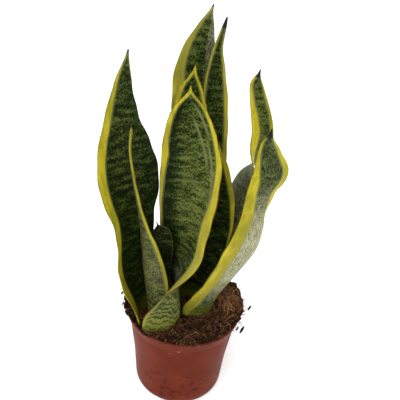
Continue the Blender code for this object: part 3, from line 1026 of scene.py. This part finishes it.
# %% [markdown]
# ## The soil
#
# The pot is filled with coir: brown pith and crumbs with a mat of springy fibres on top. It is
# made in three layers. A lumpy surface carries the heaped shape, crumbs lie on it, and thousands
# of thin curved fibres lie over both. A few fibres reach out over the rim, as loose coir does.

# %% Soil surface
SOIL_EDGE_LEVEL = 94.5
SOIL_CROWN = 3.0
MOUND_HEIGHT = 13.0
MOUND_CENTRE = (47.0, 24.0)
MOUND_REACH = 24.0
CLUMP_WAVES = 70
SOIL_RINGS = 90
SOIL_AROUND = 300
SOIL_DEPTH = 30.0
SOIL_GAP = 0.35
LIP_DROP = 2
# The fans that close the top and the bottom start at these parts of the radius.
TOP_FAN, BOTTOM_FAN = 0.01, 0.02
OVER_RIM = 0.7
CLUMP_STEEPNESS = 0.018
# How far the painted light on the heap reaches, as a part of the heap's reach.
LIT_REACH = 1.25
# Where the soil spills over the rim: the middle and half the spread in degrees, and the reach.
SPILLS = ((20, 40, 7.2), (176, 30, 6.6), (-126, 9, 4.4))
random = np.random.default_rng(12)
clump_length = random.uniform(3.0, 16.0, CLUMP_WAVES)
clump_angle = random.uniform(0, math.tau, CLUMP_WAVES)
clump_start = random.uniform(0, math.tau, CLUMP_WAVES)


def clumps(x, y):
    """Lumps of many sizes: a sum of waves in all directions, a longer one being higher."""
    wave = math.tau / clump_length
    phase = x[..., None] * wave * np.cos(clump_angle) + y[..., None] * wave * np.sin(clump_angle)
    return (np.sin(phase + clump_start) * clump_length * CLUMP_STEEPNESS).sum(axis=-1)


def from_mound(x, y):
    """Distance from the middle of the heap, as a part of its reach."""
    return np.hypot(x - MOUND_CENTRE[0], y - MOUND_CENTRE[1]) / MOUND_REACH


def soil_level(x, y):
    """Height of the soil: its edge level, a crown, the heap at the right, and the clumps.

    Where it lies over the rim it is never lower than the rim's top.
    """
    reach = inner_radius(SOIL_EDGE_LEVEL)
    radius = np.hypot(x, y)
    away = from_mound(x, y)
    crown = SOIL_CROWN * np.clip(1 - (radius / reach) ** 4, 0, 1)
    level = SOIL_EDGE_LEVEL + crown + MOUND_HEIGHT * np.exp(-(away**4)) + clumps(x, y)
    over_rim = POT_HEIGHT + OVER_RIM + 0.3 * clumps(y, x)
    return np.where(radius > reach, np.maximum(level, over_rim), level)


def heap_light(x, y):
    """1 on the heap at the right, which stands up into the light, and 0 on the soil in front:
    painted light on the heap.
    """
    return np.exp(-((from_mound(x, y) / LIT_REACH) ** 4))


def spill(angle):
    """How far the soil spreads past the inside of the wall, in mm: ragged lobes at SPILLS."""
    reach = 0 * angle
    for middle, spread, most in SPILLS:
        away = np.angle(np.exp(1j * (angle - math.radians(middle)))) / math.radians(spread)
        reach = reach + most * np.exp(-(away**4))
    ragged = 1 + 0.10 * np.sin(13 * angle) + 0.10 * np.sin(29 * angle + 1)
    return reach * (ragged + 0.08 * np.sin(61 * angle))


# %% Soil materials
SOIL_DARK = (0.003, 0.0012, 0.0006)
SOIL_BROWN = (0.020, 0.0075, 0.003)
SOIL_RED = (0.065, 0.024, 0.009)
# The colour of the painted light on the heap.
SOIL_LIT = (0.105, 0.045, 0.018)
FIBRE_DARK = (0.011, 0.004, 0.0016)
FIBRE_TAN = (0.46, 0.215, 0.092)


def soil_material():
    """Crumbly brown pith: painted shade in the hollows of its bump, brown crumbs, a few redder
    ones, and painted light on the heap.
    """
    soil = Shader("coir_pith")
    place = soil.place()
    crumb = soil.noise(place, 420.0, 4.0, 0.7)
    patch = soil.noise(place, 75.0, 3.0)
    # Painted shade: where the crumb bump is low, the soil is painted nearly black, as shade in the
    # hollows.
    colour = soil.mix(crumb.smooth(0.38, 0.60), SOIL_DARK, SOIL_BROWN)
    # Painted light: the crumbs on the heap are painted paler, where light falls on the raised soil.
    colour = soil.mix(soil.attribute("dry") * crumb.smooth(0.36, 0.56), colour, SOIL_LIT)
    colour = soil.mix(patch.smooth(0.48, 0.64) * crumb.smooth(0.45, 0.62), colour, SOIL_RED)
    return soil.finish({
        "Base Color": colour,
        "Roughness": 0.95,
        "Normal": soil.bump(crumb, 1.2 * MM),
        "Specular IOR Level": 0.05,
    })


def strand_material(name, dark, pale):
    """Coir fibre or crumb. Each one's tone runs from dark to pale, with a little variation."""
    strand = Shader(name)
    tone = strand.attribute("tone") + (strand.noise(strand.place(), 300.0) - 0.5) * 0.5
    colour = strand.mix(tone.smooth(0.0, 1.0), dark, pale)
    return strand.finish({"Base Color": colour, "Roughness": 0.75, "Specular IOR Level": 0.1})


# %% Make the soil surface
def make_soil():
    """A disc of rings on the soil level, closed by a side along the wall and a flat underside."""
    reach = inner_radius(SOIL_EDGE_LEVEL) - SOIL_GAP
    share = np.linspace(TOP_FAN, 1, SOIL_RINGS)
    angle = np.arange(SOIL_AROUND) / SOIL_AROUND * math.tau
    radius = (reach + spill(angle)) * share[:, None]
    x, y = radius * np.cos(angle), radius * np.sin(angle)
    top = np.stack([x, y, soil_level(x, y)], axis=-1)
    round_wall = np.stack([reach * np.cos(angle), reach * np.sin(angle), 0 * angle], axis=-1)
    inside_lip = round_wall + (0, 0, SOIL_EDGE_LEVEL - LIP_DROP)
    bottom_level = SOIL_EDGE_LEVEL - SOIL_DEPTH
    shrink = (inner_radius(bottom_level) - SOIL_GAP) / reach
    side = round_wall * (shrink, shrink, 0) + (0, 0, bottom_level)
    inner = side * (BOTTOM_FAN, BOTTOM_FAN, 1)
    points = np.concatenate([top, inside_lip[None], side[None], inner[None]])
    poles = np.array([[0, 0, top[0, :, 2].mean()], [0, 0, bottom_level]])
    piece = build_tube("coir_soil", points, poles, soil_material(), "coir_soil", "soil", True)
    flat = np.vstack([points.reshape(-1, 3), poles])
    # How much painted light falls on each point of the soil: full on the heap, none in front.
    point_values(piece, "dry", heap_light(flat[:, 0], flat[:, 1]))
    return piece


soil = make_soil()
print(soil.name, len(soil.data.polygons), "faces")

# %% [markdown]
# A fibre is a thin three-sided tube along a curved path. All of them are worked out together:
# one array holds every fibre's points, and one more step puts a triangle of skin round each.


# %% Strands
STRAND_STEPS = 6
FIBRE_CLEARANCE = 0.1
# A strand's tone is scaled by the first number below, plus the second times the painted light on
# the heap, so that strands on the heap are painted lighter and those in front painted darker.
SHADED_TONE = 0.82
LIT_TONE = 2.0
END_TAPER = 0.25


def disc_places(count, reach):
    """Random places spread evenly over a disc."""
    radius = reach * np.sqrt(random.uniform(0, 1, count))
    angle = random.uniform(0, math.tau, count)
    return radius * np.cos(angle), radius * np.sin(angle)


def walk(x, y, heading, length, bend):
    """The way along each path from 0 to 1, and x and y at its steps.

    Each step adds a piece of the length in the heading of the moment, and the heading turns
    evenly by the bend over the whole length.
    """
    t = np.linspace(0, 1, STRAND_STEPS)
    way = heading[:, None] + bend[:, None] * t
    step = length[:, None] / (STRAND_STEPS - 1)
    px = x[:, None] + np.cumsum(np.cos(way) * step, axis=1)
    py = y[:, None] + np.cumsum(np.sin(way) * step, axis=1)
    return t, px, py


def bent_paths(x, y, heading, length, bend, lift):
    """Paths along the soil, arching above it by the lift times a parabola that is 0 at the ends."""
    t, px, py = walk(x, y, heading, length, bend)
    level = soil_level(px, py)
    pz = level + lift[:, None] * 4 * t * (1 - t) + FIBRE_CLEARANCE
    return np.stack([px, py, pz], axis=-1)


def strands(name, paths, radius, tone, material, sides=3):
    """A skin with a few sides round every path, closed at both ends, in one mesh."""
    count, steps = paths.shape[:2]
    along = np.gradient(paths, axis=1)
    along /= np.linalg.norm(along, axis=-1, keepdims=True)
    side = np.cross(along, (0.0, 0.0, 1.0))
    side /= np.maximum(np.linalg.norm(side, axis=-1, keepdims=True), 1e-6)
    rise = np.cross(side, along)
    turn = np.arange(sides) / sides * math.tau
    ring = side[:, :, None] * np.cos(turn)[:, None] + rise[:, :, None] * np.sin(turn)[:, None]
    taper = np.sin(np.linspace(END_TAPER, math.pi - END_TAPER, steps)) ** 0.5
    size = (radius[:, None] * taper)[:, :, None, None]
    skin = paths[:, :, None] + ring * size
    poles = paths[:, [0, -1]]
    points = np.concatenate([skin.reshape(count, -1, 3), poles], axis=1)
    squares, fans = tube_faces(steps, sides, True)
    offset = np.arange(count)[:, None, None] * points.shape[1]
    all_squares = (squares + offset).reshape(-1, 4)
    all_fans = (fans + offset).reshape(-1, 3)
    piece = build_piece(name, points.reshape(-1, 3), all_squares, all_fans, material, "coir_soil")
    # Painted light: strands on the heap are painted lighter, and those on the soil in front darker.
    tone = tone * (SHADED_TONE + LIT_TONE * heap_light(paths[:, 0, 0], paths[:, 0, 1]))
    point_values(piece, "tone", np.repeat(tone, points.shape[1]))
    return piece


# %% Fibres
FIBRES = 5200
FIBRE_INSET = 3
RIM_REACH = 1.0
PULLED_IN = 0.9
fibre_material = strand_material("coir_fibre", FIBRE_DARK, FIBRE_TAN)
fibre_paths = bent_paths(
    *disc_places(FIBRES, inner_radius(SOIL_EDGE_LEVEL) - FIBRE_INSET),
    random.uniform(0, math.tau, FIBRES),
    random.gamma(3.0, 3.2, FIBRES).clip(3, 22),
    random.normal(0, 1.0, FIBRES),
    random.exponential(1.1, FIBRES),
)
farthest = np.hypot(fibre_paths[..., 0], fibre_paths[..., 1]).max(axis=1)
fibre_paths[farthest > RIM_RADIUS + RIM_REACH, :, :2] *= PULLED_IN
mat = strands(
    "coir_fibres",
    fibre_paths,
    random.uniform(0.08, 0.25, FIBRES),
    random.beta(0.5, 1.5, FIBRES),
    fibre_material,
)
print(mat.name, len(mat.data.polygons), "faces")

# %% [markdown]
# Crumbs of pith and bark are the same skins on short, fat paths. The strays are fibres that start
# at the spilled edges and reach outwards and droop, and a few carry a chip of bark at their end.

# %% Crumbs
CRUMBS = 1500
CRUMB_INSET = 2
crumb_paths = bent_paths(
    *disc_places(CRUMBS, inner_radius(SOIL_EDGE_LEVEL) - CRUMB_INSET),
    random.uniform(0, math.tau, CRUMBS),
    random.gamma(3.0, 0.55, CRUMBS).clip(0.6, 4.0),
    random.normal(0, 0.5, CRUMBS),
    random.uniform(0, 0.3, CRUMBS),
)
bark = strand_material("bark_crumb", SOIL_DARK, SOIL_RED)
crumbs = strands(
    "pith_crumbs",
    crumb_paths,
    random.uniform(0.25, 0.85, CRUMBS),
    random.beta(1.5, 2.0, CRUMBS),
    bark,
    sides=5,
)
print(crumbs.name, len(crumbs.data.polygons), "faces")

# %% Strays
STRAYS_RIGHT = 80
STRAYS_LEFT = 40
STRAYS_FRONT = 26
STRAY_INSET = 3
STRAY_CLEARANCE = 0.4


def stray_paths(count, middle, spread, longest):
    """Paths that leave the soil's edge outwards, turn a little, and droop as the square of t."""
    angle = middle + random.normal(0, 0.5, count) * spread
    edge = inner_radius(SOIL_EDGE_LEVEL) + spill(angle) - STRAY_INSET
    x, y = edge * np.cos(angle), edge * np.sin(angle)
    heading = angle + random.normal(0, 0.75, count)
    bend = random.normal(0, 1.2, count)
    length = random.uniform(3, longest, count)
    t, px, py = walk(x, y, heading, length, bend)
    start = np.maximum(soil_level(x, y), POT_HEIGHT + STRAY_CLEARANCE)[:, None]
    rise = random.normal(0.12, 0.35, count)[:, None] * length[:, None]
    pz = start + rise * t - random.uniform(0, 0.45, count)[:, None] * length[:, None] * t**2
    return np.stack([px, py, pz], axis=-1)


stray = np.concatenate([
    stray_paths(STRAYS_RIGHT, -0.05, 0.8, 9.5),
    stray_paths(STRAYS_LEFT, 3.1, 0.6, 7.5),
    stray_paths(STRAYS_FRONT, -1.62, 0.5, 6.0),
])
strays = strands(
    "stray_fibres",
    stray,
    random.uniform(0.10, 0.22, len(stray)),
    random.beta(0.9, 1.6, len(stray)),
    fibre_material,
)
print(strays.name, len(strays.data.polygons), "faces")

# %% Chips
# Each chip hangs on a fibre of its own: where the fibre leaves the soil, where the chip is, and
# the chip's length and radius.
CHIPS = (
    ((60, 4, 101), (69, 0, 105), 6.5, 1.2),
    ((58, -14, 98.8), (63, -16, 88), 9.0, 1.4),
    ((56, -17, 98.6), (58, -17, 90), 5.5, 1.0),
    ((-59, 8, 100), (-66, 6, 104), 4.5, 1.0),
    ((-58, 2, 98.8), (-64, 0, 95), 3.6, 0.7),
)
CHIP_WAY = np.array([0.35, 0.1, 0.93])
CHIP_STEPS = 4
CARRIER_ARCH = np.array([0, 0, 1.5])
CARRIER_RADIUS = 0.1
CARRIER_TONE = 0.5
CHIP_TONE = 0.2
root, end, length, girth = (np.array(column, dtype=float) for column in zip(*CHIPS))
share = np.linspace(0, 1, STRAND_STEPS)[None, :, None]
arch = CARRIER_ARCH * 4 * share * (1 - share)
carriers = root[:, None] * (1 - share) + end[:, None] * share + arch
chip_line = np.linspace(-0.5, 0.5, CHIP_STEPS)[None, :, None]
chip_paths = end[:, None] + (CHIP_WAY * length[:, None])[:, None] * chip_line
each = np.ones(len(CHIPS))
carrier = strands(
    "chip_fibres", carriers, CARRIER_RADIUS * each, CARRIER_TONE * each, fibre_material
)
chips = strands("bark_chips", chip_paths, girth, CHIP_TONE * each, bark, sides=6)
print([(piece.name, len(piece.data.polygons)) for piece in (carrier, chips)])
